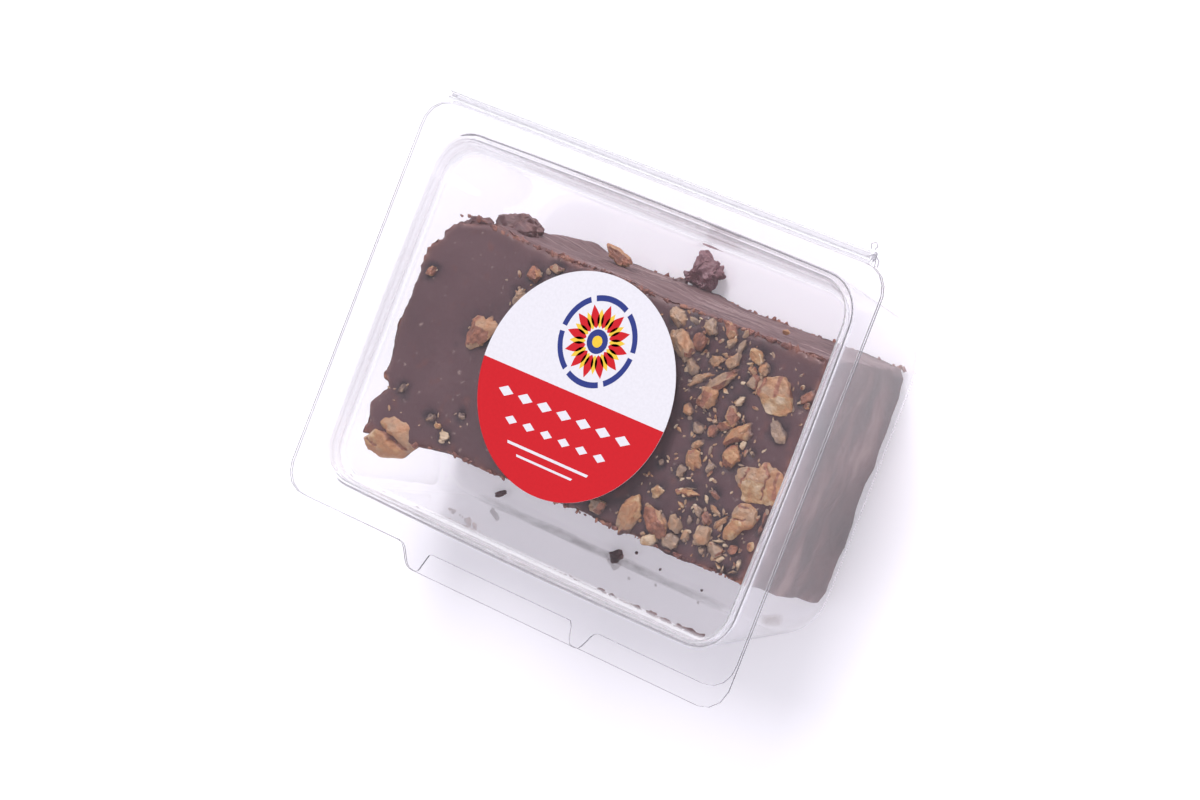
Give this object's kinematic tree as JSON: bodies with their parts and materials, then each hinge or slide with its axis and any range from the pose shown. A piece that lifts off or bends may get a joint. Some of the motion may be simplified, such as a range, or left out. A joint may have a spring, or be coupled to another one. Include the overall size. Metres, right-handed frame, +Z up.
{
  "type": "pecan fudge in a clear hinged pack",
  "caption": "Slab of chocolate fudge with pecan pieces in a clear moulded pack with a hinged lid and a round label.",
  "frame": {"origin": "middle of the whole pack's outline, at the level of the tub's floor", "axes": "+X along the hinge, +Y from the tabs at the front to the hinge, +Z up out of the tub"},
  "size_m": [0.1266, 0.1014, 0.0426],
  "materials": {
    "clear_film": "clear thermoformed sheet, glossy",
    "label_print": "satin printed paper, red and white",
    "fudge": "smooth cut chocolate fudge, slightly dull",
    "pecan": "matt broken nut"
  },
  "bodies": {
    "tub": {"tub": "clear_film", "hinge_roll": "clear_film", "fudge": "fudge", "fudge_chip": "fudge", "pecan_half": "pecan", "pecan_piece_1": "pecan", "pecan_piece_2": "pecan", "pecan_piece_3": "pecan"},
    "lid": {"lid": "clear_film", "label": "label_print"}
  },
  "joints": [
    {"name": "lid_hinge", "type": "hinge", "parent": "tub", "child": "lid", "pos_m": [0, 0.04935, 0.04125], "axis": [-1, 0, 0], "range_deg": [0, 180]}
  ]
}
